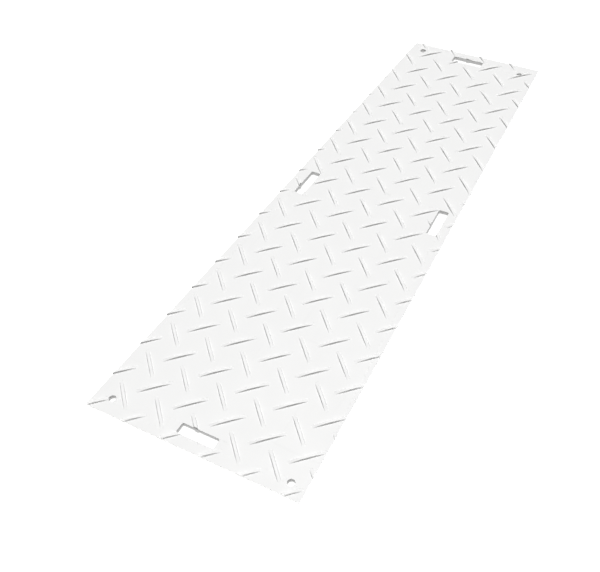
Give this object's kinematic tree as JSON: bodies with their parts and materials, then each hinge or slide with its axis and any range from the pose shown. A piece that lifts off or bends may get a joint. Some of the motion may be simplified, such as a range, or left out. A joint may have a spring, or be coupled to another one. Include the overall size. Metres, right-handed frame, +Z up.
{
  "type": "ground protection mat",
  "caption": "Tapered ground protection mat of white moulded plastic, with raised lozenge tread on both faces, hand slots in its edges and fixing holes near its corners.",
  "frame": {"origin": "on the ground, under the middle of the mat's length and width", "axes": "+X across the mat to the right, +Y along it from the wide end to the narrow end, +Z up out of the top tread"},
  "size_m": [0.6098, 1.829, 0.0227],
  "materials": {
    "white_moulded_plastic": "smooth satin moulded skin with fine scuffs",
    "white_tread_plastic": "the same plastic, a little more burnished on the crests"
  },
  "bodies": {
    "root": {"moulded_sheet": "white_moulded_plastic", "top_tread_right_handed": "white_tread_plastic", "top_tread_left_handed": "white_tread_plastic", "underside_tread_right_handed": "white_tread_plastic", "underside_tread_left_handed": "white_tread_plastic"}
  },
  "joints": []
}
